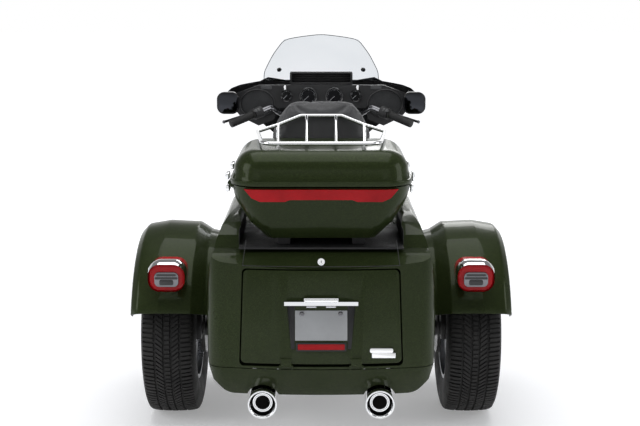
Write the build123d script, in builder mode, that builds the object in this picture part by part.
from build123d import *
import math
import os

os.makedirs("parts", exist_ok=True)

# A three-wheeled touring motorcycle. +X is its right side, +Y its front, +Z up.
# The origin is on the ground, at the middle of its length and width.

# Driving dimensions, in millimetres
overall_length = 2652
overall_width = 1390
overall_height = 1430
wheelbase = 1670
front_overhang = 320
rear_track = 1140
case_width = 614
trail = 99

# Steering head and fork, in degrees from upright
rake = 26
fork_angle = 32

# Clearances
seat_gap = 0.3
panel_gap = 5
overrun = 40

# Tyres
rear_tyre_radius = 324
rear_tyre_width = 205
rear_rim_radius = 190.5
front_tyre_radius = 320
front_tyre_width = 130
front_rim_radius = 203
rim_flange = 15

rear_axle_y = overall_length / 2 - front_overhang - wheelbase
front_axle_y = rear_axle_y + wheelbase
front_axle_z = front_tyre_radius
rear_axle_z = rear_tyre_radius
half_track = rear_track / 2
rake_tan = math.tan(math.radians(rake))
head_up = Vector(0, -math.sin(math.radians(rake)), math.cos(math.radians(rake)))
leg_up = Vector(0, -math.sin(math.radians(fork_angle)), math.cos(math.radians(fork_angle)))
head_foot = Vector(0, front_axle_y + trail, 0)
front_axle = Vector(0, front_axle_y, front_axle_z)


def save(piece, name):
    """Labels a finished piece and writes it under its node's name."""
    piece.part.label = name
    export_step(piece.part, f"parts/{name}.step")


def spread(shares, size, start=(0, 0, 0)):
    """Points from shares of a size along each axis, counted from a start."""
    return [tuple(s + share * full for share, full, s in zip(row, size, start)) for row in shares]


def pipe(route, radius, bend):
    """A round bar along straight runs with a bend at each corner."""
    with BuildPart() as bar:
        with BuildLine() as line:
            if len(route) > 2:
                FilletPolyline(*route, radius=bend)
            else:
                Line(*route)
        with BuildSketch(Plane(origin=line.line @ 0, z_dir=line.line % 0)):
            Circle(radius)
        sweep()
    return bar.part


def rod(start, end, radius, tip_radius=None):
    """A round bar or a cone from one point to another."""
    run = Vector(*end) - Vector(*start)
    with BuildPart() as bar:
        with BuildSketch(Plane(origin=start, z_dir=run)):
            Circle(radius)
        with BuildSketch(Plane(origin=end, z_dir=run)):
            Circle(radius if tip_radius is None else tip_radius)
        loft()
    return bar.part


def across(centre):
    """A sketch plane through a wheel's centre: its x is the part's X and its y is up."""
    return Plane(origin=centre, x_dir=(1, 0, 0), z_dir=(0, -1, 0))


def facing(x, centre):
    """A sketch plane square to the wheel's axle, at an x of the part."""
    return Plane(origin=(x, centre[1], centre[2]), x_dir=(0, 1, 0), z_dir=(1, 0, 0))


# Cast wheels: a channel section barrel, a hub and flat spokes
barrel_wall = 7
rear_rim_width = 178
front_rim_width = 96
hub_radius = 62
axle_radius = 15
rear_spokes = 7
front_spokes = 10
spoke_depth = 20
spoke_root = 34
spoke_tip = 24
disc_thick = 6
rear_disc_radius = 150
front_disc_radius = 150
front_disc_x = 62
rear_disc_x = 66

# Tyres: the bead stands on the rim, the wall bulges and the tread is nearly flat
# columns: share of half the width, share of the height above the rim
rear_wall_shares = {"bulge": (1.0, 0.48), "shoulder": (0.84, 0.94)}
front_wall_shares = {"bulge": (1.0, 0.50), "shoulder": (0.78, 0.86)}
bead_rise = 15
rear_shoulder_round = 20
front_shoulder_round = 16


def tyre(centre, radius, width, seat, rim_width, shares, shoulder_round):
    half, height = width / 2, radius - seat
    bulge, shoulder = ((x * half, seat + z * height) for x, z in (shares["bulge"], shares["shoulder"]))
    bead = (rim_width / 2 - barrel_wall - seat_gap, seat + bead_rise)
    with BuildPart() as ring:
        with BuildSketch(across(centre)) as section:
            with BuildLine():
                Line((-bead[0], seat + seat_gap), (bead[0], seat + seat_gap))
                Line((bead[0], seat + seat_gap), bead)
                ThreePointArc(bead, bulge, shoulder)
                ThreePointArc(shoulder, (0, radius), (-shoulder[0], shoulder[1]))
                ThreePointArc((-shoulder[0], shoulder[1]), (-bulge[0], bulge[1]), (-bead[0], bead[1]))
                Line((-bead[0], bead[1]), (-bead[0], seat + seat_gap))
            make_face()
            fillet(section.vertices().group_by(Axis.Y)[-1], shoulder_round)
        revolve(axis=Axis(centre, (1, 0, 0)))
    return ring.part


def rim(centre, seat, width, half_hub, hub, spokes, spoke_x, reach, bore):
    """The barrel, hub and spokes; the spokes stand at spoke_x from the centre and end at reach."""
    half = width / 2
    axle = Axis(centre, (1, 0, 0))
    well = seat - 3 * barrel_wall
    with BuildPart() as wheel:
        with BuildSketch(across(centre)):
            with BuildLine():
                Polyline(
                    (-half, seat + rim_flange - barrel_wall / 2),
                    (-half + barrel_wall, seat + rim_flange - barrel_wall / 2),
                    (-half + barrel_wall, seat),
                    (-half / 2, seat),
                    (-half / 3, well),
                    (half / 3, well),
                    (half / 2, seat),
                    (half - barrel_wall, seat),
                    (half - barrel_wall, seat + rim_flange - barrel_wall / 2),
                    (half, seat + rim_flange - barrel_wall / 2),
                    (half, seat - barrel_wall),
                    (half / 2, seat - barrel_wall),
                    (half / 3, well - barrel_wall),
                    (-half / 3, well - barrel_wall),
                    (-half / 2, seat - barrel_wall),
                    (-half, seat - barrel_wall),
                    close=True,
                )
            make_face()
        revolve(axis=axle)
        with BuildSketch(facing(spoke_x - spoke_depth / 2 + centre[0], centre)):
            with PolarLocations(0, spokes):
                with BuildLine():
                    Polyline(
                        (hub / 2, -spoke_root / 2),
                        (reach, -spoke_tip / 2),
                        (reach, spoke_tip / 2),
                        (hub / 2, spoke_root / 2),
                        close=True,
                    )
                make_face()
        extrude(amount=spoke_depth)
        with BuildSketch(facing(centre[0] - half_hub, centre)):
            Circle(hub)
        extrude(amount=2 * half_hub)
        with BuildSketch(facing(centre[0] - half_hub - overrun, centre)):
            Circle(bore + seat_gap)
        extrude(amount=2 * half_hub + 2 * overrun, mode=Mode.SUBTRACT)
    return wheel.part


def disc(centre, x, radius):
    """A brake disc on its carrier, as a ring round the hub."""
    with BuildPart() as plate:
        with BuildSketch(facing(centre[0] + x - disc_thick / 2, centre)):
            Circle(radius)
            Circle(hub_radius - seat_gap, mode=Mode.SUBTRACT)
        extrude(amount=disc_thick)
    return plate.part


rear_hub_half = 70
for side, out in (("left", -1), ("right", 1)):
    centre = (out * half_track, rear_axle_y, rear_axle_z)
    with BuildPart() as rear_tyre:
        add(tyre(centre, rear_tyre_radius, rear_tyre_width, rear_rim_radius, rear_rim_width, rear_wall_shares,
                 rear_shoulder_round))
    save(rear_tyre, f"rear_tyre_{side}")
    with BuildPart() as rear_wheel:
        add(rim(centre, rear_rim_radius, rear_rim_width, rear_hub_half, hub_radius, rear_spokes,
                out * rear_rim_width / 3, rear_rim_radius - barrel_wall / 2, axle_radius))
        add(disc(centre, -out * rear_disc_x, rear_disc_radius))
    save(rear_wheel, f"rear_wheel_{side}")

with BuildPart() as front_tyre:
    add(tyre(tuple(front_axle), front_tyre_radius, front_tyre_width, front_rim_radius, front_rim_width,
             front_wall_shares, front_shoulder_round))
save(front_tyre, "front_tyre")
front_hub_half = 72
with BuildPart() as front_wheel:
    add(rim(tuple(front_axle), front_rim_radius, front_rim_width, front_hub_half, hub_radius, front_spokes, 0,
            front_rim_radius - 7 / 2 * barrel_wall, axle_radius))
    for out in (-1, 1):
        add(disc(tuple(front_axle), out * front_disc_x, front_disc_radius))
save(front_wheel, "front_wheel")

# Rear body: a shell that holds the trunk behind a bulkhead and is open below in front of it
body_length = 910
body_half_width = 396
body_foot_z = 258
body_height = 510
body_wall = 6
body_rear_y = -overall_length / 2 + 8
body_seam_z = 367
body_bow = 38
body_corner = 70
body_lean = 0.12
bumper_tuck = 0.45
bulkhead_gap = 450
seam_gap = 3
body_belly_share = 0.33
# columns: share of the half width, share of the height
body_rear_shares = [(0.82, 0.0), (0.945, 0.10), (0.985, 0.22), (1.0, 0.55),
                    (0.99, 0.71), (0.965, 0.90), (0.93, 1.0)]
body_rear_round = 60
# columns: share of the length from the rear, share of the height
body_side_shares = [(-0.1, -0.1), (-0.1, 0.86), (0.045, 0.88), (0.12, 0.965), (0.5, 1.0),
                    (1.0, 0.93), (1.0, body_belly_share),
                    (0.5, body_belly_share), (0.46, 0.0), (0.46, -0.1)]


def rear_view(y):
    """A sketch plane that faces the rear: its x is the part's X and its y is up."""
    return Plane(origin=(0, y, 0), x_dir=(1, 0, 0), z_dir=(0, -1, 0))


def side_view(x):
    """A sketch plane that faces right: its x is the part's Y and its y is up."""
    return Plane(origin=(x, 0, 0), x_dir=(0, 1, 0), z_dir=(1, 0, 0))


def both_sides(points):
    """An outline of both halves from the points of the right half, bottom to top."""
    return points + [(-x, z) for x, z in reversed(points) if x > 0]


def slab(outline, start_x, end_x):
    """A side outline of (y, z) points carried from one x to another."""
    with BuildPart() as block:
        with BuildSketch(side_view(start_x)):
            with BuildLine():
                Polyline(*outline, close=True)
            make_face()
        extrude(amount=end_x - start_x)
    return block.part


def block_between(low, high):
    """A square block between two corners."""
    with BuildPart() as block:
        with BuildSketch(Plane.XY.offset(low[2])):
            with Locations(((low[0] + high[0]) / 2, (low[1] + high[1]) / 2)):
                Rectangle(high[0] - low[0], high[1] - low[1])
        extrude(amount=high[2] - low[2])
    return block.part


def body_form(inset):
    """The rear body's outer form, or the space inside it when it is set in."""
    front_y = body_rear_y + body_length
    rear = both_sides(spread(body_rear_shares, (body_half_width, body_height), (0, body_foot_z)))
    side = spread(body_side_shares, (body_length, body_height), (body_rear_y, body_foot_z))
    with BuildPart() as form:
        with BuildSketch(Plane.XY.offset(body_seam_z)) as plan:
            with BuildLine():
                ThreePointArc((-body_half_width, body_rear_y + body_bow), (0, body_rear_y),
                              (body_half_width, body_rear_y + body_bow))
                Polyline((body_half_width, body_rear_y + body_bow), (body_half_width, front_y),
                         (-body_half_width, front_y), (-body_half_width, body_rear_y + body_bow))
            make_face()
            fillet(plan.vertices().group_by(Axis.Y)[0], body_corner)
            offset(amount=-inset, kind=Kind.INTERSECTION, mode=Mode.REPLACE)
        extrude(amount=body_height, dir=(0, body_lean, 1))
        extrude(plan.sketch, amount=body_height, dir=(0, bumper_tuck, -1))
        with BuildSketch(rear_view(body_rear_y - overrun)) as outline:
            with BuildLine():
                Polyline(*rear, close=True)
            make_face()
            fillet(outline.vertices().group_by(Axis.Y)[0], body_rear_round)
            offset(amount=-inset, kind=Kind.INTERSECTION, mode=Mode.REPLACE)
        extrude(amount=-body_length - 2 * overrun, mode=Mode.INTERSECT)
        with BuildSketch(side_view(-body_half_width)):
            with BuildLine():
                Polyline(*side, close=True)
            make_face()
            offset(amount=-inset, kind=Kind.INTERSECTION, mode=Mode.REPLACE)
        extrude(amount=2 * body_half_width, mode=Mode.INTERSECT)
    return form.part



# Rear mudguards: a flat-crowned shell round each rear wheel that runs in to the body
guard_radius = 428
guard_lip_radius = 346
guard_wall = 5
guard_outer_x = overall_width / 2
guard_inner_x = 330
guard_front_angle = -14
guard_rear_angle = 157
guard_edge_round = 22
# columns: share of the way from the inner to the outer edge, share of the way from the lip to the crown
guard_outline_shares = [(1.0, -0.4), (1.0, 0.50), (0.93, 0.84), (0.71, 1.0),
                        (0.39, 0.93), (0.26, 0.56), (0.0, 0.30),
                        (0.0, -0.4)]


def guard(out):
    wide, deep = guard_outer_x - guard_inner_x, guard_radius - guard_lip_radius
    outline = [(out * (guard_inner_x + a * wide), guard_lip_radius + b * deep) for a, b in guard_outline_shares]
    lean = math.radians(guard_front_angle)
    centre = (0, rear_axle_y, rear_axle_z)
    start = Plane(origin=centre, x_dir=(1, 0, 0), z_dir=(0, -math.sin(lean), math.cos(lean)))
    with BuildPart() as shell:
        with BuildSketch(start) as section:
            with BuildLine():
                Polyline(*outline, close=True)
            make_face()
            fillet(section.vertices().sort_by(Axis.Y)[2:], guard_edge_round)
            offset(amount=-guard_wall, mode=Mode.SUBTRACT)
            with Locations((out * (guard_inner_x + wide / 2), guard_lip_radius - overrun)):
                Rectangle(wide + 2 * overrun, 2 * overrun, mode=Mode.SUBTRACT)
        revolve(axis=Axis(centre, (1, 0, 0)), revolution_arc=guard_rear_angle - guard_front_angle)
        add(body_form(0), mode=Mode.SUBTRACT)
        add(hump.part, mode=Mode.SUBTRACT)
    return shell.part.solids().sort_by(SortBy.VOLUME)[-1]


# Trunk door: hinged along its foot, in an opening through the rear of the body
door_foot_z = 384
door_head_z = 702
door_half_foot = 276
door_half_head = 265
door_thick = 20
door_corner = 16
door_foot_gap = 10
hinge_pin_radius = 2.5
hinge_wall = 2
hinge_length = 36
hinge_lug = 6
door_hinge_x = 120
door_hinge_back = 2
recess_half_foot = 104
recess_half_head = 118
recess_foot_z = 430
recess_head_z = 586
recess_depth = 16
exhaust_x = 202
exhaust_z = 240
tip_radius = 50
tip_gap = 7
case_waist_inset = 28
hump_clearance = 6
hump_inner_x = case_width / 2 - case_waist_inset + hump_clearance
hump_top_z = 842
hump_set_back = 150
hump_length = 800
hump_width = body_half_width - hump_inner_x
hump_round = hump_width * 0.24
# columns: share of the hump's width, share of the body's height
hump_rear_shares = [(1.0, 0.55), (0.965, 0.71), (0.875, 0.90), (0.74, 1.02), (0.60, 1.10), (0.42, 1.145)]
# columns: share of the length from the rear, share of the way from the seam to the top
hump_shares = [(0.0, 0.38), (0.015, 0.79), (0.06, 0.90), (0.15, 0.965),
               (0.30, 1.0), (0.75, 0.985), (1.0, 0.90), (1.0, 0.38)]

with BuildPart() as body_outer:
    add(body_form(0))
with BuildPart() as body_inner:
    add(body_form(body_wall))


def door_outline(gap, foot_gap):
    """The door's outline seen from the rear, or the opening round it with a gap."""
    return both_sides([(door_half_foot + gap, door_foot_z - foot_gap), (door_half_head + gap, door_head_z + gap)])


def behind_opening(gap, foot_gap, depth):
    """What stands in the door's outline, from well behind the body to a depth inside it."""
    with BuildPart() as prism:
        with BuildSketch(rear_view(body_rear_y - overrun)) as outline:
            with BuildLine():
                Polyline(*door_outline(gap, foot_gap), close=True)
            make_face()
            fillet(outline.vertices(), door_corner)
        extrude(amount=-(overrun + depth))
    return prism.part


hump_rear_y = body_rear_y + hump_set_back
hump_rise = hump_top_z - body_seam_z
with BuildPart() as hump:
    with BuildSketch(rear_view(hump_rear_y)) as hump_outline:
        with BuildLine():
            outer = spread(hump_rear_shares, (hump_width, body_height), (hump_inner_x, body_foot_z))
            Polyline(*outer, (hump_inner_x, outer[-1][1]), (hump_inner_x, outer[0][1]), close=True)
        make_face()
        fillet(hump_outline.vertices().group_by(Axis.Y)[-1], hump_round)
    extrude(amount=-hump_length)
    add(slab(spread(hump_shares, (hump_length, hump_rise), (hump_rear_y, body_seam_z)),
             hump_inner_x, body_half_width), mode=Mode.INTERSECT)

guard_right = guard(1)
with BuildPart() as rear_guards:
    add(guard_right)
    mirror(about=Plane.YZ)
save(rear_guards, "rear_mudguards")

bulkhead_y = body_rear_y + bulkhead_gap


def door_skin_y(z, x=0):
    """How far back the door's outer face stands at a height, and at an x off its middle."""
    return body_rear_y + body_lean * (z - body_seam_z) + body_bow * (x / body_half_width) ** 2


def pin_hinge(centre, length, ends):
    """A hinge pin along X and its two end lugs, for the side that stands still."""
    with BuildPart() as hinge:
        add(rod((centre[0] - length / 2 - hinge_lug, centre[1], centre[2]),
                (centre[0] + length / 2 + hinge_lug, centre[1], centre[2]), hinge_pin_radius))
        for low in (centre[0] - length / 2 - hinge_lug, centre[0] + length / 2 + seat_gap):
            add(slab(ends, low, low + hinge_lug - seat_gap))
    return hinge.part


def knuckle(centre, length, tab):
    """A hinge's turning barrel along X and the tab that ties it to its panel."""
    with BuildPart() as barrel:
        add(rod((centre[0] - length / 2, centre[1], centre[2]), (centre[0] + length / 2, centre[1], centre[2]),
                hinge_pin_radius + seat_gap + hinge_wall))
        add(slab(tab, centre[0] - length / 2, centre[0] + length / 2))
        add(rod((centre[0] - length, centre[1], centre[2]), (centre[0] + length, centre[1], centre[2]),
                hinge_pin_radius + seat_gap), mode=Mode.SUBTRACT)
    return barrel.part


door_axis_y = body_rear_y - door_hinge_back
door_axis_z = door_foot_z - door_foot_gap / 2
hinge_outer = hinge_pin_radius + seat_gap + hinge_wall
door_inner_y = door_skin_y(door_foot_z, door_hinge_x) + door_thick / 2
door_lug = [(door_axis_y - hinge_outer, door_axis_z + hinge_pin_radius),
            (door_axis_y - hinge_outer, door_axis_z - hinge_pin_radius),
            (door_axis_y, body_seam_z), (door_inner_y, body_seam_z),
            (door_inner_y, body_seam_z + body_wall), (door_axis_y + hinge_outer, door_axis_z + hinge_pin_radius)]
door_tab = [(door_axis_y - hinge_wall, door_axis_z + hinge_pin_radius),
            (door_axis_y - hinge_wall, door_foot_z + door_thick),
            (door_inner_y, door_foot_z + door_thick), (door_inner_y, door_foot_z),
            (door_axis_y + hinge_outer, door_axis_z + hinge_pin_radius)]

with BuildPart() as trunk_plates:
    add(block_between((-body_half_width, body_rear_y, body_seam_z),
                      (body_half_width, bulkhead_y, body_seam_z + body_wall)))
    add(block_between((-body_half_width, bulkhead_y - body_wall, body_seam_z),
                      (body_half_width, bulkhead_y, body_foot_z + body_height)))
    add(body_outer.part, mode=Mode.INTERSECT)

with BuildPart() as trunk_body:
    add(body_outer.part)
    add(hump.part)
    mirror(hump.part, about=Plane.YZ)
    add(body_inner.part, mode=Mode.SUBTRACT)
    split(bisect_by=Plane.XY.offset(body_seam_z), keep=Keep.TOP)
    add(behind_opening(panel_gap, door_foot_gap, body_height / 2), mode=Mode.SUBTRACT)
    add(trunk_plates.part)
    add(block_between((-body_half_width - overrun, bulkhead_y, body_foot_z),
                      (body_half_width + overrun, body_rear_y + body_length + overrun,
                       body_foot_z + body_height * body_belly_share + body_wall)), mode=Mode.SUBTRACT)
    for side in (-1, 1):
        add(pin_hinge((side * door_hinge_x, door_axis_y, door_axis_z), hinge_length, door_lug))


bumper_tab_half = 24
bumper_tab_x = 300
bumper_tab_deep = 60
with BuildPart() as bumper_tabs:
    for x in (-bumper_tab_x, 0, bumper_tab_x):
        add(block_between((x - bumper_tab_half, body_rear_y, body_seam_z - bumper_tab_half),
                          (x + bumper_tab_half, body_rear_y + body_bow + bumper_tab_deep, body_seam_z - seat_gap)))
    add(body_form(body_wall / 2), mode=Mode.INTERSECT)

with BuildPart() as rear_bumper:
    add(body_outer.part)
    add(body_inner.part, mode=Mode.SUBTRACT)
    split(bisect_by=Plane.XY.offset(body_seam_z - seam_gap), keep=Keep.BOTTOM)
    add(bumper_tabs.part)
    for side in (-1, 1):
        add(rod((side * exhaust_x, body_rear_y - overrun, exhaust_z),
                (side * exhaust_x, body_rear_y + body_length, exhaust_z), tip_radius + tip_gap), mode=Mode.SUBTRACT)
save(rear_bumper, "rear_bumper")


def door_plane(z, depth):
    """A plane along the door's outer face, at a height and sunk in by a depth; its y runs up the door."""
    return Plane(origin=(0, door_skin_y(z) + depth, z), x_dir=(1, 0, 0), z_dir=(0, -1, body_lean))


recess_outline = both_sides([(recess_half_foot, recess_foot_z), (recess_half_head, recess_head_z)])
recess_section = [(door_skin_y(recess_foot_z), recess_foot_z),
                  (door_skin_y(recess_head_z) + recess_depth, recess_head_z),
                  (body_rear_y - overrun, recess_head_z), (body_rear_y - overrun, recess_foot_z)]
with BuildPart() as plate_recess:
    with BuildSketch(rear_view(body_rear_y - overrun)):
        with BuildLine():
            Polyline(*recess_outline, close=True)
        make_face()
    extrude(amount=-body_height / 2)
    add(slab(recess_section, -body_half_width, body_half_width), mode=Mode.INTERSECT)

with BuildPart() as trunk_door:
    add(body_outer.part)
    add(body_outer.part.moved(Location((0, door_thick, 0))), mode=Mode.SUBTRACT)
    add(behind_opening(0, 0, body_height / 2), mode=Mode.INTERSECT)
    add(plate_recess.part, mode=Mode.SUBTRACT)
    for side in (-1, 1):
        add(knuckle((side * door_hinge_x, door_axis_y, door_axis_z), hinge_length, door_tab))
save(trunk_door, "trunk_door")

# Plate, its lamp bar and the reflector under it, all on the door
plate_wide = 178
plate_high = 102
plate_thick = 2
plate_foot_z = 463
reflector_half = 80
reflector_high = 20
reflector_thick = 7
bar_half = 125
bar_foot_z = 587
bar_high = 13
bar_block_half = 58
bar_block_high = 12
bar_stand = 24

recess_slope = (recess_depth + body_lean * (recess_head_z - recess_foot_z)) / (recess_head_z - recess_foot_z)


def recess_plane(z):
    """A plane along the floor of the plate's recess at a height."""
    floor_y = door_skin_y(recess_foot_z) + recess_slope * (z - recess_foot_z)
    return Plane(origin=(0, floor_y, z), x_dir=(1, 0, 0), z_dir=(0, -1, recess_slope))


with BuildPart() as licence_plate:
    with BuildSketch(recess_plane(plate_foot_z + plate_high / 2)):
        Rectangle(plate_wide, plate_high)
    extrude(amount=plate_thick)
save(licence_plate, "licence_plate")

with BuildPart() as plate_reflector:
    with BuildSketch(recess_plane(plate_foot_z - reflector_high)):
        Rectangle(2 * reflector_half, reflector_high)
    extrude(amount=reflector_thick)
save(plate_reflector, "plate_reflector")

with BuildPart() as plate_lamp:
    with BuildSketch(door_plane(bar_foot_z, 0)) as bar_outline:
        with Locations((0, bar_high / 2)):
            Rectangle(2 * bar_half, bar_high)
        with Locations((0, bar_high + bar_block_high / 2)):
            Rectangle(2 * bar_block_half, bar_block_high)
    extrude(amount=bar_stand)
save(plate_lamp, "plate_lamp")

# Top case: a tapered base and a domed lid, hinged along its left side
case_length = 470
case_overhang = 597
case_rear_y = rear_axle_y - case_overhang
case_corner = 105
case_seam_z = 984
case_waist_drop = 132
case_foot_z = 798
case_lower_taper = 38
case_wall = 5
lid_foot_z = case_seam_z + panel_gap
lid_height = 114
lid_taper = 9
lid_round = 74
lip_stand = 6
lip_high = 16
lid_hinge_inset = 120
lamp_half = 261
lamp_top_z = 979
lamp_foot_z = 938
# columns: share of the half width, share of the height
lamp_shares = [(0.0, 0.16), (0.40, 0.16), (0.47, 0.0), (0.79, 0.0), (0.90, 0.30), (1.0, 1.0)]
lamp_stand = 10
case_mount_half = 130
case_mount_wide = 44
backrest_half = 196
# columns: share of the half width, share of the height
backrest_shares = [(0.94, 0.0), (1.0, 0.55), (0.94, 0.70), (0.80, 0.86), (0.62, 0.985), (0.30, 1.0)]
backrest_foot_z = 925
backrest_top_z = 1246
backrest_overhang = 110
backrest_rear_y = rear_axle_y - backrest_overhang
backrest_thick = 84
backrest_round = 28
bracket_half = 60
bracket_foot_z = 930
bracket_head_z = 970
case_mid_y = case_rear_y + case_length / 2


def case_plan(z, grow, corner):
    """A rounded plan of the case at a height, as a sketch on its plane."""
    with BuildSketch(Plane(origin=(0, case_mid_y, z))) as plan:
        RectangleRounded(case_width + 2 * grow, case_length + 2 * grow, corner + grow)
    return plan.sketch


def case_base(inset):
    """The base's outer form, or the space inside it when it is set in."""
    waist_z = case_seam_z - case_waist_drop
    upper_taper = math.degrees(math.atan2(case_waist_inset, case_waist_drop))
    with BuildPart() as form:
        extrude(case_plan(case_seam_z, -inset, case_corner), amount=-case_waist_drop, taper=upper_taper)
        extrude(case_plan(waist_z, -inset - case_waist_inset, case_corner),
                amount=-(waist_z - case_foot_z - inset), taper=case_lower_taper)
    return form.part


def case_lid(inset):
    """The lid's outer form, or the space inside it when it is set in."""
    with BuildPart() as form:
        extrude(case_plan(lid_foot_z, -inset, case_corner), amount=lid_height - inset, taper=lid_taper)
        fillet(form.edges().group_by(Axis.Z)[-1], lid_round - inset)
    return form.part


lid_axis_x = -case_width / 2 - lip_stand - hinge_outer
lid_axis_z = case_seam_z + panel_gap / 2
lid_hinge_places = [case_mid_y - lid_hinge_inset, case_mid_y + lid_hinge_inset]


def plank(outline, start_y, end_y):
    """A rear outline of (x, z) points carried forward from one y to another."""
    with BuildPart() as block:
        with BuildSketch(rear_view(start_y)):
            with BuildLine():
                Polyline(*outline, close=True)
            make_face()
        extrude(amount=start_y - end_y)
    return block.part


def lid_pin(y):
    """A hinge pin along Y with its two end lugs on the base."""
    root_x = -case_width / 2 + case_wall / 2
    lug = [(root_x, case_seam_z - lip_high), (root_x, case_seam_z - hinge_wall),
           (lid_axis_x + hinge_pin_radius, lid_axis_z + hinge_pin_radius),
           (lid_axis_x - hinge_pin_radius, lid_axis_z + hinge_pin_radius),
           (lid_axis_x - hinge_pin_radius, lid_axis_z - hinge_pin_radius)]
    half = hinge_length / 2
    with BuildPart() as hinge:
        add(rod((lid_axis_x, y - half - hinge_lug, lid_axis_z), (lid_axis_x, y + half + hinge_lug, lid_axis_z),
                hinge_pin_radius))
        add(plank(lug, y - half - hinge_lug, y - half - seat_gap))
        add(plank(lug, y + half + seat_gap, y + half + hinge_lug))
    return hinge.part


def lid_knuckle(y):
    """The lid's turning barrel round that pin and its tab up to the lip."""
    root_x = -case_width / 2 - lip_stand + hinge_wall
    tab = [(root_x, lid_foot_z), (root_x, lid_foot_z + lip_high - hinge_wall),
           (lid_axis_x - hinge_outer / 2, lid_axis_z + hinge_pin_radius), (lid_axis_x, lid_axis_z)]
    half = hinge_length / 2
    with BuildPart() as barrel:
        add(rod((lid_axis_x, y - half, lid_axis_z), (lid_axis_x, y + half, lid_axis_z), hinge_outer))
        add(plank(tab, y - half, y + half))
    return barrel.part


def lid_bore(y):
    """The hole through that barrel."""
    return rod((lid_axis_x, y - hinge_length, lid_axis_z), (lid_axis_x, y + hinge_length, lid_axis_z),
               hinge_pin_radius + seat_gap)
with BuildPart() as base_outer:
    add(case_base(0))

with BuildPart() as top_case:
    add(base_outer.part)
    add(block_between((-bracket_half, case_rear_y + case_length - case_corner, bracket_foot_z),
                      (bracket_half, backrest_rear_y - seat_gap, bracket_head_z)))
    add(case_base(case_wall), mode=Mode.SUBTRACT)
    for y in lid_hinge_places:
        add(lid_pin(y))
save(top_case, "top_case")

with BuildPart() as top_case_lid:
    add(case_lid(0))
    extrude(case_plan(lid_foot_z, lip_stand, case_corner), amount=lip_high)
    add(case_lid(case_wall), mode=Mode.SUBTRACT)
    for y in lid_hinge_places:
        add(lid_knuckle(y))
        add(lid_bore(y), mode=Mode.SUBTRACT)
save(top_case_lid, "top_case_lid")

with BuildPart() as top_case_lamp:
    extrude(case_plan(lamp_foot_z, lamp_stand, case_corner), amount=lamp_top_z - lamp_foot_z)
    with BuildSketch(rear_view(case_rear_y - overrun)):
        with BuildLine():
            Polyline(*both_sides(spread(lamp_shares, (lamp_half, lamp_top_z - lamp_foot_z), (0, lamp_foot_z))), close=True)
        make_face()
    extrude(amount=-(overrun + case_length / 2), mode=Mode.INTERSECT)
    add(base_outer.part, mode=Mode.SUBTRACT)
save(top_case_lamp, "top_case_lamp")

# The frame under the case, on the rear body's deck
deck_z = body_foot_z + body_height
deck_plate_thick = 8
# columns: share of the body's length, share of its height
deck_plate_shares = [(0.17, 0.975), (0.5, 1.006), (0.59, 0.993)]
with BuildPart() as case_mount:
    for side in (-1, 1):
        add(block_between((side * case_mount_half - case_mount_wide / 2, case_rear_y + case_corner, deck_z - overrun),
                          (side * case_mount_half + case_mount_wide / 2, case_rear_y + case_length - case_corner,
                           case_foot_z)))
    add(block_between((-case_mount_half, case_mid_y - case_mount_wide, case_foot_z - case_mount_wide / 2),
                      (case_mount_half, case_mid_y + case_mount_wide, case_foot_z)))
    deck_line = spread(deck_plate_shares, (body_length, body_height), (body_rear_y, body_foot_z))
    add(slab(deck_line + [(y, z - deck_plate_thick) for y, z in reversed(deck_line)],
             -hump_inner_x + panel_gap, hump_inner_x - panel_gap))
    add(body_outer.part, mode=Mode.SUBTRACT)
    add(hump.part, mode=Mode.SUBTRACT)
save(case_mount, "case_mount")

# Luggage rack on the lid: a low rail round three sides, a raised hoop in front and four bars between
rack_bar_radius = 7
rack_rod_radius = 5.5
rack_half_rear = 202
rack_half_front = 237
rack_overhang = 500
rack_length = 350
rack_rear_y = rear_axle_y - rack_overhang
rack_front_y = rack_rear_y + rack_length
rack_stand = 19
rack_rise = 56
rack_bend = 46
rack_hoop_bend = 24
rack_foot_radius = 8
lid_top_z = lid_foot_z + lid_height
rack_z = lid_top_z + rack_stand
rack_size = (rack_half_front, rack_front_y - rack_rear_y, rack_rise)
# columns: share of the front half width, share of the way forward, share of the rise
rack_rail_shares = [(1.0, 1.0, 0.0), (0.852, 0.0, 0.0)]
rack_hoop_shares = [(1.0, 1.0, 0.0), (0.67, 1.03, 0.42), (0.32, 1.06, 1.0)]
# columns: share of the front half width at the rear, at the hoop, and share of the rise at the hoop
rack_bar_shares = [(0.21, 0.23, 1.0), (0.62, 0.67, 0.42)]
# columns: share of the way forward
rack_foot_shares = [0.10, 0.86]


def on_rack(wide, along, rise):
    return (wide * rack_size[0], rack_rear_y + along * rack_size[1], rack_z + rise * rack_size[2])


def both_ends(shares):
    return [on_rack(*row) for row in shares] + [on_rack(-row[0], *row[1:]) for row in reversed(shares)]


with BuildPart() as luggage_rack:
    add(pipe(both_ends(rack_rail_shares), rack_bar_radius, rack_bend))
    add(pipe(both_ends(rack_hoop_shares), rack_bar_radius, rack_hoop_bend))
    for side in (-1, 1):
        for rear_share, front_share, rise_share in rack_bar_shares:
            add(rod(on_rack(side * rear_share, 0, 0),
                    on_rack(side * front_share, 1.03 + 0.03 * rise_share, rise_share), rack_rod_radius))
        rear_share, front_share, rise_share = rack_bar_shares[-1]
        for along in rack_foot_shares:
            foot = on_rack(side * (rear_share + along * (front_share - rear_share)), along, rise_share * along)
            add(rod((foot[0], foot[1], lid_top_z), foot, rack_foot_radius))
save(luggage_rack, "luggage_rack")

with BuildPart() as backrest:
    with BuildSketch(rear_view(backrest_rear_y)) as backrest_outline:
        with BuildLine():
            Polyline(*both_sides(spread(backrest_shares, (backrest_half, backrest_top_z - backrest_foot_z),
                                        (0, backrest_foot_z))), close=True)
        make_face()
        fillet(backrest_outline.vertices(), backrest_round)
    extrude(amount=-backrest_thick)
save(backrest, "backrest")

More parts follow.
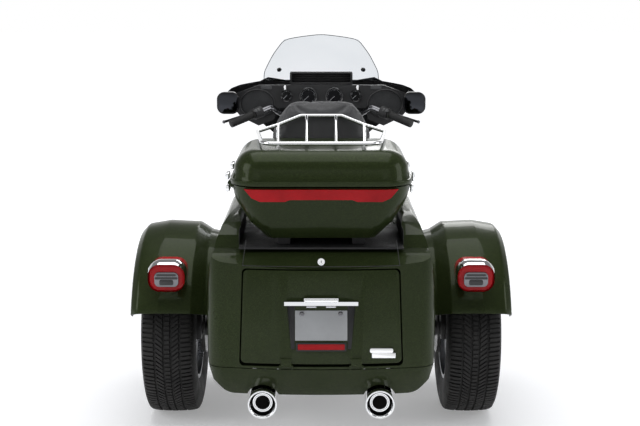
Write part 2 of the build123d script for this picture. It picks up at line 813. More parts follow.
# Speaker pods beside the backrest, against the case's front
pod_inner_x = 208
pod_outer_x = 300
pod_front_y = backrest_rear_y + backrest_overhang
pod_foot_z = 858
pod_head_z = 976
pod_round = 30
with BuildPart() as speaker_pods:
    for side in (-1, 1):
        low_x, high_x = sorted((side * pod_inner_x, side * pod_outer_x))
        add(block_between((low_x, case_mid_y + case_length / 4, pod_foot_z), (high_x, pod_front_y, pod_head_z)))
    fillet(speaker_pods.faces().group_by(Axis.Y)[-1].edges(), pod_round)
    add(base_outer.part, mode=Mode.SUBTRACT)
save(speaker_pods, "speaker_pods")

# Frame: a backbone from the steering head, two cradle tubes under the engine and a tail for body and seat
head_length = 170
head_radius = 30
head_mid_z = 850
head_bore_radius = 18
cradle_radius = 16
brace_radius = 13
backbone_radius = 22
cradle_half = 92
cradle_z = 172
pivot_ahead = 540
pivot_z = 330
pivot_half = 150
pivot_radius = 17
tail_half = 128
tail_z = 640
knee_z = 480
tail_ahead = -120
neck_half = 20
neck_ahead = 1300
neck_z = 838
backbone_mid_ahead = 800
backbone_mid_z = 790
backbone_rear_ahead = 560
backbone_rear_z = 640
downtube_foot_ahead = 1215
frame_bend = 70
shock_x = 300
shock_ahead = 60
shock_radius = 30
shock_rod_radius = 12
shock_foot_z = 380


def ahead(length):
    """The y of a place that far in front of the rear axle."""
    return rear_axle_y + length


def on_head(z):
    """The point of the steering axis at a height."""
    return head_foot + head_up * (z / head_up.Z)


head_mid = on_head(head_mid_z)
head_top = head_mid + head_up * (head_length / 2)
head_low = head_mid - head_up * (head_length / 2)
with BuildPart() as frame:
    add(pipe([(0, head_mid.Y - head_radius / 2, head_mid_z), (0, ahead(backbone_mid_ahead), backbone_mid_z),
              (0, ahead(backbone_rear_ahead), backbone_rear_z), (0, ahead(pivot_ahead), pivot_z)], backbone_radius,
             frame_bend))
    for side in (-1, 1):
        add(pipe([(side * neck_half, ahead(neck_ahead), neck_z),
                  (side * cradle_half, ahead(downtube_foot_ahead), cradle_z),
                  (side * cradle_half, ahead(pivot_ahead), cradle_z),
                  (side * cradle_half, ahead(pivot_ahead), pivot_z)], cradle_radius, frame_bend))
        add(pipe([(side * cradle_half, ahead(pivot_ahead), pivot_z),
                  (side * cradle_half, ahead(pivot_ahead - frame_bend / 3), knee_z),
                  (side * tail_half, ahead(pivot_ahead - frame_bend), tail_z),
                  (side * tail_half, ahead(tail_ahead), tail_z)], cradle_radius, frame_bend / 2))
        add(rod((side * tail_half, ahead(pivot_ahead - 2 * frame_bend), tail_z),
                (0, ahead(backbone_rear_ahead), backbone_rear_z - backbone_radius), brace_radius))
    add(rod((-pivot_half, ahead(pivot_ahead), pivot_z), (pivot_half, ahead(pivot_ahead), pivot_z), pivot_radius))
    for crossing in (tail_ahead + 2 * cradle_radius, shock_ahead):
        reach = shock_x + shock_radius if crossing == shock_ahead else tail_half
        add(rod((-reach, ahead(crossing), tail_z), (reach, ahead(crossing), tail_z), brace_radius))
    add(rod(tuple(head_low), tuple(head_top), head_radius))
    add(rod(tuple(head_low - head_up * overrun), tuple(head_top + head_up * overrun), head_bore_radius + seat_gap),
        mode=Mode.SUBTRACT)
save(frame, "frame")

with BuildPart() as body_on_frame:
    add(trunk_body.part)
    add(frame.part, mode=Mode.SUBTRACT)
save(body_on_frame, "trunk_body")

# Drive belt on the left, from the gearbox to the final drive
belt_wide = 16
belt_thick = 9
belt_x = -121.5
belt_front_radius = 52
belt_rear_radius = 88
belt_front_ahead = 612

# Rear axle: its housing between the brakes, held by two arms from the pivot
housing_radius = 30
final_drive_radius = 92
final_drive_half = 62
arm_half = 160
arm_radius = 24
flange_radius = 96
flange_thick = 14
caliper_reach = 158
caliper_root = 92
caliper_wide = 66
caliper_angle = 40
disc_gap = 2
rear_caliper_turn = 160
hub_face_x = half_track - rear_hub_half


def caliper(centre, start_x, end_x, disc_x, disc_radius, turn):
    """A brake caliper astride a disc: a sector of a ring round the axle with a slot for the disc."""
    with BuildPart() as block:
        with BuildSketch(facing(min(start_x, end_x), centre)):
            Circle(caliper_reach)
            Circle(caliper_root, mode=Mode.SUBTRACT)
            with BuildLine():
                Polyline((0, 0), *[(2 * caliper_reach * math.cos(math.radians(turn + side * caliper_angle / 2)),
                                    2 * caliper_reach * math.sin(math.radians(turn + side * caliper_angle / 2)))
                                   for side in (-1, 1)], close=True)
            make_face(mode=Mode.INTERSECT)
        extrude(amount=abs(end_x - start_x))
        with BuildSketch(facing(disc_x - disc_thick / 2 - disc_gap, centre)):
            Circle(disc_radius + disc_gap)
        extrude(amount=disc_thick + 2 * disc_gap, mode=Mode.SUBTRACT)
    return block.part


with BuildPart() as rear_axle:
    add(rod((-hub_face_x + seat_gap, rear_axle_y, rear_axle_z), (hub_face_x - seat_gap, rear_axle_y, rear_axle_z),
            housing_radius))
    add(rod((-half_track - rear_hub_half, rear_axle_y, rear_axle_z),
            (half_track + rear_hub_half, rear_axle_y, rear_axle_z), axle_radius))
    add(rod((-final_drive_half, rear_axle_y, rear_axle_z), (final_drive_half, rear_axle_y, rear_axle_z),
            final_drive_radius))
    add(rod((belt_x - belt_wide / 2, rear_axle_y, rear_axle_z), (belt_x + belt_wide / 2, rear_axle_y, rear_axle_z),
            belt_rear_radius - belt_thick - seat_gap))
    for side in (-1, 1):
        add(rod((side * arm_half, rear_axle_y, rear_axle_z), (side * arm_half, ahead(pivot_ahead), pivot_z),
                arm_radius))
        flange_x = side * (hub_face_x - 3 * flange_thick)
        add(rod((flange_x - flange_thick / 2, rear_axle_y, rear_axle_z),
                (flange_x + flange_thick / 2, rear_axle_y, rear_axle_z), flange_radius))
        add(caliper((side * half_track, rear_axle_y, rear_axle_z), flange_x, flange_x + side * caliper_wide,
                    side * (half_track - rear_disc_x), rear_disc_radius, rear_caliper_turn))
    add(rod((-pivot_half - overrun, ahead(pivot_ahead), pivot_z), (pivot_half + overrun, ahead(pivot_ahead), pivot_z),
            pivot_radius + seat_gap), mode=Mode.SUBTRACT)
save(rear_axle, "rear_axle")

# Engine: a crankcase with two finned cylinders in a V, the gearbox behind it
crank_ahead = 930
crank_z = 352
cylinder_lean = 22.5
case_half = 112
case_left = 130
crankcase_radius = 128
barrel_foot = 118
barrel_top = 262
head_block_top = 322
rocker_top = 392
barrel_radius = 58
fin_radius = 84
fin_thick = 3.5
fin_pitch = 11
head_wide = 164
head_long = 150
rocker_wide = 156
rocker_long = 138
gearbox_ahead = 640
gearbox_z = 338
gearbox_long = 250
gearbox_high = 190
gearbox_half = 100
sump_z = 205
cover_round = 18


def vee(lean, up):
    """A sketch plane square to a cylinder, that far up from the crankshaft."""
    rise = Vector(0, math.sin(math.radians(lean)), math.cos(math.radians(lean)))
    return Plane(origin=Vector(0, ahead(crank_ahead), crank_z) + rise * up, x_dir=(1, 0, 0), z_dir=rise)


with BuildPart() as crankcase:
    add(rod((-case_left, ahead(crank_ahead), crank_z), (case_half, ahead(crank_ahead), crank_z), crankcase_radius))
    add(block_between((-case_half, ahead(crank_ahead) - crankcase_radius, sump_z),
                      (case_half, ahead(crank_ahead) + crankcase_radius / 2, crank_z)))
save(crankcase, "crankcase")

with BuildPart() as gearbox:
    add(block_between((-gearbox_half, ahead(gearbox_ahead) - gearbox_long / 4, gearbox_z - gearbox_high / 2),
                      (gearbox_half, ahead(gearbox_ahead) + gearbox_long / 2, gearbox_z + gearbox_high / 2)))
    fillet(gearbox.edges().filter_by(Axis.X), cover_round)
    add(rod((belt_x - belt_wide / 2, ahead(belt_front_ahead), gearbox_z), (0, ahead(belt_front_ahead), gearbox_z),
            belt_front_radius - belt_thick))
    add(crankcase.part, mode=Mode.SUBTRACT)
    add(frame.part, mode=Mode.SUBTRACT)
save(gearbox, "gearbox")

fin_count = int((head_block_top - barrel_foot) / fin_pitch)
with BuildPart() as cylinders:
    for lean in (-cylinder_lean, cylinder_lean):
        with BuildSketch(vee(lean, barrel_foot)):
            Circle(barrel_radius)
        extrude(amount=barrel_top - barrel_foot)
        with BuildSketch(vee(lean, barrel_top)):
            Rectangle(head_wide - 2 * cover_round, head_long - 2 * cover_round)
        extrude(amount=head_block_top - barrel_top)
        for count in range(fin_count):
            up = barrel_foot + fin_pitch * (count + 0.5)
            with BuildSketch(vee(lean, up)):
                RectangleRounded(head_wide, head_long, fin_radius / 3)
            extrude(amount=fin_thick)
    add(crankcase.part, mode=Mode.SUBTRACT)
save(cylinders, "cylinders")

with BuildPart() as rocker_covers:
    for lean in (-cylinder_lean, cylinder_lean):
        with BuildSketch(vee(lean, head_block_top)):
            RectangleRounded(rocker_wide, rocker_long, cover_round)
        extrude(amount=rocker_top - head_block_top)
    fillet(rocker_covers.faces().sort_by(Axis.Z)[-2:].edges(), cover_round / 2)
save(rocker_covers, "rocker_covers")

primary_wide = 72
primary_front_radius = 104
primary_rear_radius = 110
primary_rear_ahead = 672
with BuildPart() as primary_cover:
    with BuildSketch(side_view(-case_left - primary_wide)):
        with BuildLine():
            front_ring = CenterArc((ahead(crank_ahead), crank_z), primary_front_radius, -90, 180)
            rear_ring = CenterArc((ahead(primary_rear_ahead), crank_z), primary_rear_radius, 90, 180)
            Line(front_ring @ 1, rear_ring @ 0)
            Line(rear_ring @ 1, front_ring @ 0)
        make_face()
    extrude(amount=primary_wide)
    fillet(primary_cover.faces().sort_by(Axis.X)[0].edges(), cover_round)
save(primary_cover, "primary_cover")

cam_radius = 92
cam_wide = 46
cam_ahead = 925
with BuildPart() as cam_cover:
    add(rod((case_half, ahead(cam_ahead), crank_z), (case_half + cam_wide, ahead(cam_ahead), crank_z), cam_radius,
            cam_radius - cover_round))
save(cam_cover, "cam_cover")

cleaner_radius = 92
cleaner_wide = 62
cleaner_z = 610
cleaner_x = 96
intake_radius = 30
with BuildPart() as air_cleaner:
    add(rod((0, ahead(crank_ahead), cleaner_z), (cleaner_x, ahead(crank_ahead), cleaner_z), intake_radius))
    with BuildSketch(side_view(cleaner_x)):
        with Locations((ahead(crank_ahead), cleaner_z)):
            Circle(cleaner_radius)
    extrude(amount=cleaner_wide)
    fillet(air_cleaner.faces().sort_by(Axis.X)[-1].edges(), cover_round)
    add(cylinders.part, mode=Mode.SUBTRACT)
save(air_cleaner, "air_cleaner")

# Exhaust: a header from each cylinder on the right, joined and split again to a muffler on each side
header_radius = 22
header_root_reach = 190
header_bend_reach = 215
header_foot_reach = 150
muffler_radius = 46
muffler_rear_ahead = -560
muffler_front_ahead = 60
muffler_cone = 70
hanger_ahead = -430
hanger_radius = 9
port_z = 575
header_x = 152
tip_rear_ahead = -655
tip_wall = 5
tip_inner_radius = 34
crossover_ahead = 250
exhaust_bend = 60
with BuildPart() as exhaust_headers:
    add(pipe([(head_wide / 2 + seat_gap, ahead(crank_ahead + header_root_reach), port_z),
              (header_x, ahead(crank_ahead + header_bend_reach), port_z),
              (header_x + header_radius, ahead(crank_ahead + header_foot_reach), exhaust_z),
              (exhaust_x, ahead(crossover_ahead), exhaust_z),
              (exhaust_x, ahead(muffler_front_ahead + muffler_cone), exhaust_z)], header_radius, header_radius * 2))
save(exhaust_headers, "exhaust_headers")

with BuildPart() as mufflers:
    for side in (-1, 1):
        x = side * exhaust_x
        add(rod((x, ahead(muffler_rear_ahead), exhaust_z), (x, ahead(muffler_front_ahead), exhaust_z), muffler_radius))
        add(rod((x, ahead(muffler_front_ahead), exhaust_z), (x, ahead(muffler_front_ahead + muffler_cone), exhaust_z),
                muffler_radius, header_radius + tip_wall))
        add(rod((x, ahead(muffler_rear_ahead), exhaust_z), (x, ahead(tip_rear_ahead), exhaust_z), tip_radius))
        add(rod((x, ahead(muffler_rear_ahead), exhaust_z), (x, ahead(tip_rear_ahead) - overrun, exhaust_z),
                tip_radius - tip_wall), mode=Mode.SUBTRACT)
        with BuildSketch(rear_view(ahead(muffler_rear_ahead))):
            with Locations((x, exhaust_z)):
                Circle(tip_inner_radius)
                Circle(tip_inner_radius - tip_wall, mode=Mode.SUBTRACT)
        extrude(amount=muffler_cone)
        add(rod((x, ahead(hanger_ahead), exhaust_z + muffler_radius - tip_wall),
                (x, ahead(hanger_ahead), body_seam_z - seat_gap), hanger_radius))
save(mufflers, "mufflers")

with BuildPart() as drive_belt:
    with BuildSketch(side_view(belt_x - belt_wide / 2)):
        with BuildLine():
            front_turn = CenterArc((ahead(belt_front_ahead), gearbox_z), belt_front_radius, -90, 180)
            rear_turn = CenterArc((rear_axle_y, rear_axle_z), belt_rear_radius, 90, 180)
            Line(front_turn @ 1, rear_turn @ 0)
            Line(rear_turn @ 1, front_turn @ 0)
        make_face()
        offset(amount=-belt_thick, mode=Mode.SUBTRACT)
    extrude(amount=belt_wide)
save(drive_belt, "drive_belt")

# Shock absorbers, upright beside the axle
with BuildPart() as shock_absorbers:
    for side in (-1, 1):
        x = side * shock_x
        add(rod((x, rear_axle_y, rear_axle_z), (x, ahead(shock_ahead), shock_foot_z + overrun), shock_rod_radius))
        add(rod((x, ahead(shock_ahead), shock_foot_z), (x, ahead(shock_ahead), tail_z), shock_radius))
    add(rear_axle.part, mode=Mode.SUBTRACT)
    add(frame.part, mode=Mode.SUBTRACT)
save(shock_absorbers, "shock_absorbers")

# Fuel tank: a loft from the nose to the narrow rear, over the backbone
tank_front_ahead = 1185
tank_length = 470
tank_top_z = 912
tank_half = 152
tank_foot_z = 748
tunnel_half = 34
# columns: share of the length from the front, share of the half width, share of the height
tank_section_shares = [(0.0, 0.62, 0.80), (0.24, 1.0, 0.98), (0.62, 0.90, 0.93), (1.0, 0.42, 0.46)]
tank_round = 46
console_share = 0.55
tank_high = tank_top_z - tank_foot_z
with BuildPart() as tank_form:
    for along, wide_share, high_share in tank_section_shares:
        high = high_share * tank_high
        with BuildSketch(rear_view(ahead(tank_front_ahead - along * tank_length))) as tank_section:
            with Locations((0, tank_foot_z + high / 2)):
                Rectangle(2 * wide_share * tank_half, high)
            fillet(tank_section.vertices(), tank_round * wide_share)
    loft()

with BuildPart() as fuel_tank:
    add(tank_form.part)
    with BuildSketch(rear_view(ahead(tank_front_ahead) + overrun)):
        with Locations((0, tank_foot_z)):
            Rectangle(2 * tunnel_half, 2 * backbone_radius)
    extrude(amount=tank_length + 2 * overrun, mode=Mode.SUBTRACT)
    add(frame.part, mode=Mode.SUBTRACT)
save(fuel_tank, "fuel_tank")

console_half = 52
console_thick = 9
console_long = 330
cap_radius = 31
with BuildPart() as tank_console:
    with BuildSketch(Plane.XY.offset(tank_foot_z + tank_high / 2)):
        with Locations((0, ahead(tank_front_ahead - console_share * tank_length))):
            RectangleRounded(2 * console_half, console_long, console_half / 2)
    extrude(amount=tank_high / 2 + console_thick)
    add(tank_form.part, mode=Mode.SUBTRACT)
save(tank_console, "tank_console")

# Seat: the rider's dish and the passenger's step behind it
seat_length = 810
seat_rear_ahead = -100
seat_foot_z = 668
seat_half = 186
seat_high = 250
# columns: share of the length from the rear, share of the height
seat_shares = [(0.0, 0.404), (0.0, 1.0), (0.42, 0.89), (0.52, 0.76), (0.60, 0.37), (0.72, 0.28), (0.83, 0.29),
               (0.93, 0.40), (1.0, 0.536), (1.0, 0.40), (0.914, 0.232), (0.815, 0.02), (0.555, 0.0), (0.44, 0.0),
               (0.44, 0.264)]
with BuildPart() as seat:
    add(slab(spread(seat_shares, (seat_length, seat_high), (ahead(seat_rear_ahead), seat_foot_z)),
             -seat_half, seat_half))
save(seat, "seat")

# Side covers, floorboards, engine guard and lower fairings
side_cover_x = 144.3
side_cover_wide = 54
side_cover_rear_ahead = 262
side_cover_long = 262
side_cover_foot_z = 470
side_cover_high = 190
side_cover_round = 34
with BuildPart() as side_covers:
    with BuildSketch(side_view(side_cover_x)):
        with Locations((ahead(side_cover_rear_ahead) + side_cover_long / 2, side_cover_foot_z + side_cover_high / 2)):
            RectangleRounded(side_cover_long, side_cover_high, side_cover_round)
    extrude(amount=side_cover_wide)
    mirror(about=Plane.YZ)
save(side_covers, "side_covers")

board_thick = 18
board_strut_radius = 10
rider_board_x = 228
rider_board_wide = 110
rider_board_rear_ahead = 900
rider_board_long = 300
rider_board_z = 300
rider_strut_ahead = 1190
rider_strut_z = 200
passenger_board_x = 232
passenger_board_wide = 92
passenger_board_rear_ahead = 330
passenger_board_long = 220
passenger_board_z = 382
passenger_strut_x = 104
passenger_strut_ahead = 520
passenger_strut_z = 440
strut_reach_share = 0.8
# columns: node, inner x, width, rear end, length, top height, strut root x, strut root ahead, strut root height
board_places = [("rider_floorboards", rider_board_x, rider_board_wide, rider_board_rear_ahead, rider_board_long,
                 rider_board_z, cradle_half, rider_strut_ahead, rider_strut_z),
                ("passenger_floorboards", passenger_board_x, passenger_board_wide, passenger_board_rear_ahead,
                 passenger_board_long, passenger_board_z, passenger_strut_x, passenger_strut_ahead,
                 passenger_strut_z)]
for name, inner_x, wide, rear_end, long, top_z, root_x, root_ahead, root_z in board_places:
    with BuildPart() as boards:
        with BuildSketch(Plane.XY.offset(top_z - board_thick)):
            with Locations((inner_x + wide / 2, ahead(rear_end + long / 2))):
                RectangleRounded(wide, long, wide / 3)
        extrude(amount=board_thick)
        add(rod((root_x, ahead(root_ahead), root_z),
                (inner_x + wide / 4, ahead(rear_end + long * strut_reach_share), top_z - board_thick / 2),
                board_strut_radius))
        add(frame.part, mode=Mode.SUBTRACT)
        mirror(about=Plane.YZ)
    save(boards, name)

guard_bar_radius = 16
guard_half = 356
guard_foot_ahead = 1226
guard_reach = 66
guard_foot_z = 250
guard_high = 414
# columns: share of the half width, share of the reach, share of the height
hoop_shares = [(0.258, 0.0, 0.0), (0.983, 0.545, 0.193), (1.0, 0.606, 0.845), (0.0, 1.0, 1.0)]
with BuildPart() as engine_guard:
    right_hoop = spread(hoop_shares, (guard_half, guard_reach, guard_high), (0, ahead(guard_foot_ahead), guard_foot_z))
    add(pipe(right_hoop + [(-x, y, z) for x, y, z in reversed(right_hoop[:-1])], guard_bar_radius, frame_bend))
    add(frame.part, mode=Mode.SUBTRACT)
save(engine_guard, "engine_guard")

lower_inner_x = 158
lower_outer_x = 372
lower_foot_z = 340
lower_head_z = 716
lower_rear_ahead = 1172
lower_deep = 74
lower_round = 30
with BuildPart() as lower_fairings:
    with BuildSketch(rear_view(ahead(lower_rear_ahead))):
        with Locations(((lower_inner_x + lower_outer_x) / 2, (lower_foot_z + lower_head_z) / 2)):
            RectangleRounded(lower_outer_x - lower_inner_x, lower_head_z - lower_foot_z, lower_round)
    extrude(amount=-lower_deep)
    add(engine_guard.part, mode=Mode.SUBTRACT)
    mirror(about=Plane.YZ)
save(lower_fairings, "lower_fairings")

# Tail lamps on the rear mudguards
tail_lamp_x = 554
tail_lamp_z = 626
tail_lamp_wide = 132
tail_lamp_high = 104
tail_lamp_rear_ahead = -402
tail_lamp_deep = 110
tail_lamp_round = 40
with BuildPart() as tail_lamps:
    with BuildSketch(rear_view(ahead(tail_lamp_rear_ahead))):
        with Locations((tail_lamp_x, tail_lamp_z)):
            RectangleRounded(tail_lamp_wide, tail_lamp_high, tail_lamp_round)
    extrude(amount=-tail_lamp_deep)
    fillet(tail_lamps.faces().sort_by(Axis.Y)[0].edges(), tail_lamp_round / 3)
    add(rod((0, rear_axle_y, rear_axle_z), (overall_width, rear_axle_y, rear_axle_z), guard_radius - guard_wall),
        mode=Mode.SUBTRACT)
    add(guard_right, mode=Mode.SUBTRACT)
    mirror(about=Plane.YZ)
save(tail_lamps, "tail_lamps")

# Fork: two legs between the yokes, sloping more than the head
leg_half = 112
tube_radius = 24.5
slider_radius = 33
leg_top_z = 985
slider_top_z = 640
axle_boss_radius = 30
front_axle_radius = axle_radius
yoke_thick = 26
upper_yoke_z = 958
lower_yoke_z = 752
yoke_round = 30


def on_leg(z, side=1):
    """The point of a fork leg's middle line at a height."""
    return Vector(side * leg_half, 0, 0) + front_axle + leg_up * ((z - front_axle_z) / leg_up.Z)


with BuildPart() as fork_legs:
    for side in (-1, 1):
        add(rod(tuple(on_leg(front_axle_z, side)), tuple(on_leg(slider_top_z, side)), slider_radius))
        add(rod(tuple(on_leg(slider_top_z, side)), tuple(on_leg(leg_top_z, side)), tube_radius))
    add(rod((-leg_half - axle_boss_radius, front_axle_y, front_axle_z),
            (leg_half + axle_boss_radius, front_axle_y, front_axle_z), front_axle_radius))
save(fork_legs, "fork_legs")

with BuildPart() as fork_yokes:
    add(rod(tuple(on_head(lower_yoke_z)), tuple(on_head(upper_yoke_z)), head_bore_radius))
    for z in (lower_yoke_z, upper_yoke_z):
        middle = on_head(z)
        leg_point = on_leg(z)
        with BuildSketch(Plane(origin=(0, (middle.Y + leg_point.Y) / 2, z), x_dir=(1, 0, 0), z_dir=tuple(head_up))):
            RectangleRounded(2 * leg_half + 3 * tube_radius, 3.4 * tube_radius, yoke_round)
        extrude(amount=yoke_thick / 2, both=True)
    add(fork_legs.part, mode=Mode.SUBTRACT)
save(fork_yokes, "fork_yokes")

# Handlebar: clamped above the upper yoke, with grips and hand controls at its ends
bar_radius = 14
grip_radius = 18
grip_long = 122
control_long = 42
control_radius = 27
lever_radius = 6
riser_radius = 15
bar_bend = 34
handle_half = 413
handle_end_ahead = 950
handle_reach = 322
handle_foot_z = 1014
handle_rise = 78
# columns: share of the half width, share of the reach, share of the rise
bar_shares = [(0.363, 1.0, 0.0), (0.576, 0.36, 1.0), (1.0, 0.0, 0.18)]
lever_tip_shares = [(1.102, 0.168, 0.192)]
handle_size = (handle_half, handle_reach, handle_rise)
handle_start = (0, ahead(handle_end_ahead), handle_foot_z)
right_bar = [Vector(*point) for point in spread(bar_shares, handle_size, handle_start)]
lever_tip = spread(lever_tip_shares, handle_size, handle_start)[0]
bar_out = (right_bar[2] - right_bar[1]).normalized()
bar_end = right_bar[2]


def mirrored(point):
    return (-point[0], point[1], point[2])


with BuildPart() as handlebar:
    route = [tuple(point) for point in right_bar]
    add(pipe([mirrored(point) for point in reversed(route)] + route, bar_radius, bar_bend))
    for side in (-1, 1):
        x = side * leg_half / 2
        add(rod((x, right_bar[0].Y, upper_yoke_z), (x, right_bar[0].Y, right_bar[0].Z), riser_radius))
    add(fork_yokes.part, mode=Mode.SUBTRACT)
    add(fork_legs.part, mode=Mode.SUBTRACT)
save(handlebar, "handlebar")

with BuildPart() as grips:
    add(rod(tuple(bar_end - bar_out * grip_long), tuple(bar_end + bar_out * grip_radius / 3), grip_radius))
    mirror(about=Plane.YZ)
    add(handlebar.part, mode=Mode.SUBTRACT)
save(grips, "grips")

with BuildPart() as hand_controls:
    control_inner = bar_end - bar_out * (grip_long + control_long)
    control_outer = bar_end - bar_out * (grip_long + seat_gap)
    lever_root = (control_inner + control_outer) / 2 + Vector(0, 2 * control_radius, 0)
    add(rod(tuple(control_inner), tuple(control_outer), control_radius))
    add(rod(tuple((control_inner + control_outer) / 2), tuple(lever_root), 2 * lever_radius))
    add(rod(tuple(lever_root), lever_tip, lever_radius))
    mirror(about=Plane.YZ)
    add(handlebar.part, mode=Mode.SUBTRACT)
save(hand_controls, "hand_controls")

# Front mudguard: a shell round the front tyre between the fork legs
front_guard_radius = 350
front_guard_lip_radius = 292
front_guard_wall = 4
front_guard_front_angle = 32
front_guard_rear_angle = 192
front_guard_half = leg_half - slider_radius - seat_gap
with BuildPart() as front_mudguard:
    lean = math.radians(front_guard_front_angle)
    start = Plane(origin=tuple(front_axle), x_dir=(1, 0, 0), z_dir=(0, -math.sin(lean), math.cos(lean)))
    with BuildSketch(start) as front_guard_section:
        with BuildLine():
            crown_low = front_guard_radius - front_guard_half / 2
            Polyline((-front_guard_half, crown_low), (-front_guard_half, front_guard_lip_radius - overrun),
                     (front_guard_half, front_guard_lip_radius - overrun), (front_guard_half, crown_low))
            ThreePointArc((front_guard_half, crown_low), (0, front_guard_radius), (-front_guard_half, crown_low))
        make_face()
        offset(amount=-front_guard_wall, mode=Mode.SUBTRACT)
        with Locations((0, front_guard_lip_radius - overrun)):
            Rectangle(4 * front_guard_half, 2 * overrun, mode=Mode.SUBTRACT)
    revolve(axis=Axis(tuple(front_axle), (1, 0, 0)), revolution_arc=front_guard_rear_angle - front_guard_front_angle)
save(front_mudguard, "front_mudguard")

front_caliper_turn = 158
with BuildPart() as front_calipers:
    for side in (-1, 1):
        add(caliper(tuple(front_axle), side * (front_disc_x - caliper_wide / 4), side * (leg_half - slider_radius / 2),
                    side * front_disc_x, front_disc_radius, front_caliper_turn))
    add(fork_legs.part, mode=Mode.SUBTRACT)
save(front_calipers, "front_calipers")

# Fairing on the fork: a domed outer shell round a leaning axis, a dashboard inside it and the windshield
fairing_middle_ahead = 1010
fairing_middle_z = 1000
fairing_tilt = 18
fairing_wall = 4
fairing_reach = 472
fairing_drop = 300
fairing_span = 440
# columns: share of the reach from the leaning axis, share of the span along it
fairing_arc_shares = [(0.879, 0.0), (1.0, 0.477), (0.964, 1.0)]
fairing_half = 452
fairing_foot_z = 868
fairing_high = 346
# columns: share of the half width, share of the height
fairing_shares = [(0.0, 0.0), (0.332, 0.012), (0.476, 0.107), (0.664, 0.338), (0.874, 0.497), (0.973, 0.656),
                  (1.0, 0.757), (0.991, 0.844), (0.94, 0.896), (0.863, 0.922), (0.664, 0.948), (0.58, 1.0),
                  (0.398, 0.948), (0.0, 0.936)]
headlamp_radius = 92
headlamp_z = 985
headlamp_deep = 76
headlamp_bulge = 18
fairing_size = (fairing_half, fairing_high)
fairing_arc = spread(fairing_arc_shares, (fairing_reach, fairing_span), (0, -fairing_drop))
fairing_up = Vector(0, -math.sin(math.radians(fairing_tilt)), math.cos(math.radians(fairing_tilt)))
fairing_axis = Axis((0, ahead(fairing_middle_ahead), fairing_middle_z), tuple(fairing_up))
fairing_face = Plane(origin=(0, ahead(fairing_middle_ahead), fairing_middle_z), x_dir=(1, 0, 0),
                     z_dir=tuple(fairing_up.cross(Vector(1, 0, 0)) * -1))


def fairing_form(inset, outer_x):
    """The space inside the fairing's domed skin, set in by a wall, in its outline."""
    start, middle, end = [(radius - inset, along) for radius, along in fairing_arc]
    with BuildPart() as form:
        with BuildSketch(fairing_face):
            with BuildLine():
                ThreePointArc(start, middle, end)
                Polyline(end, (0, end[1]), (0, start[1]), start)
            make_face()
        revolve(axis=fairing_axis, revolution_arc=360)
        with BuildSketch(rear_view(ahead(fairing_middle_ahead))):
            with BuildLine():
                Polyline(*both_sides(spread(fairing_shares, fairing_size, (0, fairing_foot_z))),
                         close=True)
            make_face()
            offset(amount=outer_x, kind=Kind.INTERSECTION, mode=Mode.REPLACE)
        extrude(amount=-overall_width / 2, mode=Mode.INTERSECT)
    return form.part


with BuildPart() as headlamp:
    lamp_face_y = ahead(fairing_middle_ahead) + fairing_arc[1][0] - fairing_wall
    with BuildSketch(rear_view(lamp_face_y - headlamp_deep)):
        with Locations((0, headlamp_z)):
            Circle(headlamp_radius)
    extrude(amount=-headlamp_deep - headlamp_bulge)
    fillet(headlamp.faces().sort_by(Axis.Y)[-1].edges(), headlamp_bulge)
    add(fork_yokes.part, mode=Mode.SUBTRACT)
save(headlamp, "headlamp")

with BuildPart() as outer_fairing:
    add(fairing_form(0, 0))
    add(fairing_form(fairing_wall, overrun), mode=Mode.SUBTRACT)
    with BuildSketch(rear_view(ahead(fairing_middle_ahead))):
        with Locations((0, headlamp_z)):
            Circle(headlamp_radius + seat_gap)
    extrude(amount=-overall_width / 2, mode=Mode.SUBTRACT)
save(outer_fairing, "outer_fairing")

dash_rear_ahead = 1150
dash_thick = 40
speaker_wide = 166
speaker_high = 140
speaker_x = 305
speaker_z = 1100
speaker_deep = 12
# columns: share of the fairing's half width, share of its height
dash_shares = [(0.0, 0.613), (0.473, 0.613), (0.5, 0.451), (0.664, 0.367), (0.85, 0.486), (0.938, 0.627),
               (0.956, 0.786), (0.664, 0.925), (0.0, 0.931)]
with BuildPart() as inner_fairing:
    with BuildSketch(rear_view(ahead(dash_rear_ahead))):
        with BuildLine():
            Polyline(*both_sides(spread(dash_shares, fairing_size, (0, fairing_foot_z))), close=True)
        make_face()
    extrude(amount=-dash_thick)
    with BuildSketch(rear_view(ahead(dash_rear_ahead))):
        with Locations((-speaker_x, speaker_z), (speaker_x, speaker_z)):
            Ellipse(speaker_wide / 2, speaker_high / 2)
    extrude(amount=-speaker_deep, mode=Mode.SUBTRACT)
    add(fairing_form(fairing_wall + seat_gap, overrun), mode=Mode.INTERSECT)
    add(handlebar.part, mode=Mode.SUBTRACT)
save(inner_fairing, "inner_fairing")

# columns: share of the fairing's half width, share of its height, radius as a share of the half width
gauge_shares = [(0.137, 0.775, 0.093), (0.365, 0.786, 0.062)]
gauge_stand = 12
with BuildPart() as gauges:
    for side in (-1, 1):
        for x, z, radius in spread(gauge_shares, (fairing_half, fairing_high, fairing_half), (0, fairing_foot_z, 0)):
            add(rod((side * x, ahead(dash_rear_ahead) - gauge_stand, z), (side * x, ahead(dash_rear_ahead), z), radius))
save(gauges, "gauges")

# Windshield: a curved sheet that leans back from the fairing's top
shield_thick = 5
shield_foot_z = 1190
shield_lean = 1.05
shield_middle_ahead = 1424
shield_side_ahead = 1326
shield_side_x = 300
shield_half = 281
shield_height = overall_height - shield_foot_z
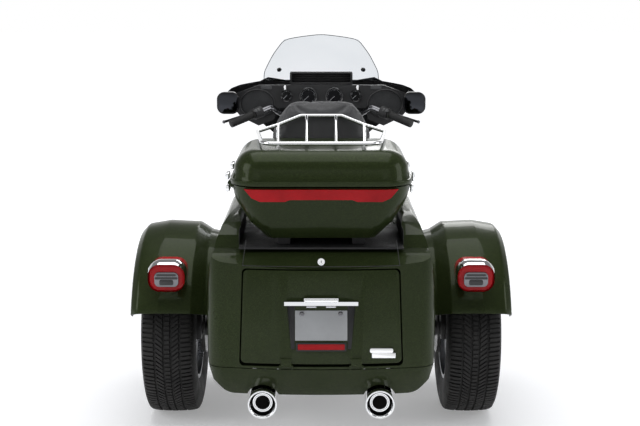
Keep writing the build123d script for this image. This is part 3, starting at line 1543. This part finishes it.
# columns: share of the half width, share of the height
shield_shares = [(0.0, 0.0), (1.0, 0.0), (1.0, 0.192), (0.826, 0.583), (0.626, 0.896), (0.0, 1.0)]
with BuildPart() as windshield:
    with BuildSketch(Plane.XY.offset(shield_foot_z)):
        with BuildLine():
            side_y, middle_y = ahead(shield_side_ahead), ahead(shield_middle_ahead)
            ThreePointArc((-shield_side_x, side_y), (0, middle_y), (shield_side_x, side_y))
            Line((shield_side_x, side_y), (shield_side_x, side_y - shield_thick))
            ThreePointArc((shield_side_x, side_y - shield_thick), (0, middle_y - shield_thick),
                          (-shield_side_x, side_y - shield_thick))
            Line((-shield_side_x, side_y - shield_thick), (-shield_side_x, side_y))
        make_face()
    extrude(amount=(shield_height + overrun) * math.hypot(1, shield_lean), dir=(0, -shield_lean, 1))
    with BuildSketch(rear_view(ahead(fairing_middle_ahead))):
        with BuildLine():
            Polyline(*both_sides(spread(shield_shares, (shield_half, shield_height), (0, shield_foot_z))), close=True)
        make_face()
    extrude(amount=-overall_width / 2, mode=Mode.INTERSECT)
    add(outer_fairing.part, mode=Mode.SUBTRACT)
    add(inner_fairing.part, mode=Mode.SUBTRACT)
save(windshield, "windshield")

# Mirrors on the fairing's wings, and the passing lamps on a bar in front of the fork
mirror_x = 433
mirror_z = 1119
mirror_wide = 104
mirror_high = 102
mirror_round = 34
mirror_rear_ahead = 985
mirror_deep = 46
mirror_stalk_radius = 9
with BuildPart() as mirrors:
    with BuildSketch(rear_view(ahead(mirror_rear_ahead))):
        with Locations((mirror_x, mirror_z)):
            RectangleRounded(mirror_wide, mirror_high, mirror_round)
    extrude(amount=-mirror_deep)
    fillet(mirrors.faces().sort_by(Axis.Y)[-1].edges(), mirror_round / 2)
    add(rod((mirror_x, ahead(mirror_rear_ahead) + mirror_deep / 2, mirror_z),
            (mirror_x - mirror_round, ahead(dash_rear_ahead), mirror_z + mirror_round / 2), mirror_stalk_radius))
    mirror(about=Plane.YZ)
    add(outer_fairing.part, mode=Mode.SUBTRACT)
    add(inner_fairing.part, mode=Mode.SUBTRACT)
save(mirrors, "mirrors")

spot_x = 186
spot_z = 786
spot_radius = 60
spot_deep = 84
spot_front_ahead = 1520
signal_x = 268
signal_radius = 32
spot_bar_radius = 11
with BuildPart() as passing_lamps:
    add(rod((-signal_x, ahead(spot_front_ahead) - spot_deep, spot_z), (signal_x, ahead(spot_front_ahead) - spot_deep, spot_z),
            spot_bar_radius))
    for side in (-1, 1):
        add(rod((side * spot_x, ahead(spot_front_ahead) - spot_deep, spot_z),
                (side * spot_x, ahead(spot_front_ahead), spot_z), spot_radius * 0.8, spot_radius))
        add(rod((side * signal_x, ahead(spot_front_ahead) - spot_deep, spot_z),
                (side * signal_x, ahead(spot_front_ahead) - spot_deep / 3, spot_z), signal_radius))
        add(rod((side * leg_half / 2, on_leg(lower_yoke_z).Y, lower_yoke_z),
                (side * leg_half / 2, ahead(spot_front_ahead) - spot_deep, spot_z), spot_bar_radius))
    add(fork_yokes.part, mode=Mode.SUBTRACT)
    add(fork_legs.part, mode=Mode.SUBTRACT)
save(passing_lamps, "passing_lamps")
